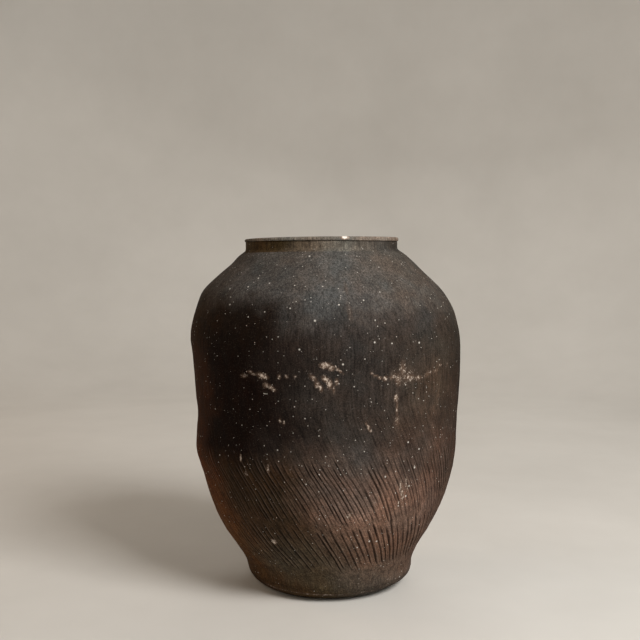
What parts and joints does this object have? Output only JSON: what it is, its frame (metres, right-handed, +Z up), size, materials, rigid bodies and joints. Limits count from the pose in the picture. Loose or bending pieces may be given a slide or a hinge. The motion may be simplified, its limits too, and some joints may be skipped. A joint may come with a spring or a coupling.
{
  "type": "storage jar",
  "caption": "Tall wide-bellied hand-built clay jar with a short neck, rolled lip and combed lower wall, dark matte fired finish.",
  "frame": {"origin": "middle of the face the jar stands on", "axes": "+Z up along the jar's axis towards the mouth; the jar has no front, so +X and +Y are free"},
  "size_m": [0.3124, 0.3124, 0.4],
  "materials": {
    "foot_clay": "matte, reddish dark brown, combed with slanting strokes down to a smooth heel",
    "lower_clay": "matte, near black above turning brown below, combed in its lower half",
    "upper_clay": "matte charcoal with a dusty bloom and pale grit",
    "lip_clay": "matte grey clay, worn pale brown along the edge",
    "inner_clay": "matte unsmoothed dark clay"
  },
  "bodies": {
    "root": {"floor_slab": "foot_clay", "base_coil": "inner_clay", "foot_wall": "foot_clay", "lower_wall": "lower_clay", "belly_seam_coil": "inner_clay", "upper_wall": "upper_clay", "shoulder_wall": "upper_clay", "neck_seam_coil": "inner_clay", "neck_collar": "upper_clay", "lip_roll": "lip_clay"}
  },
  "joints": []
}
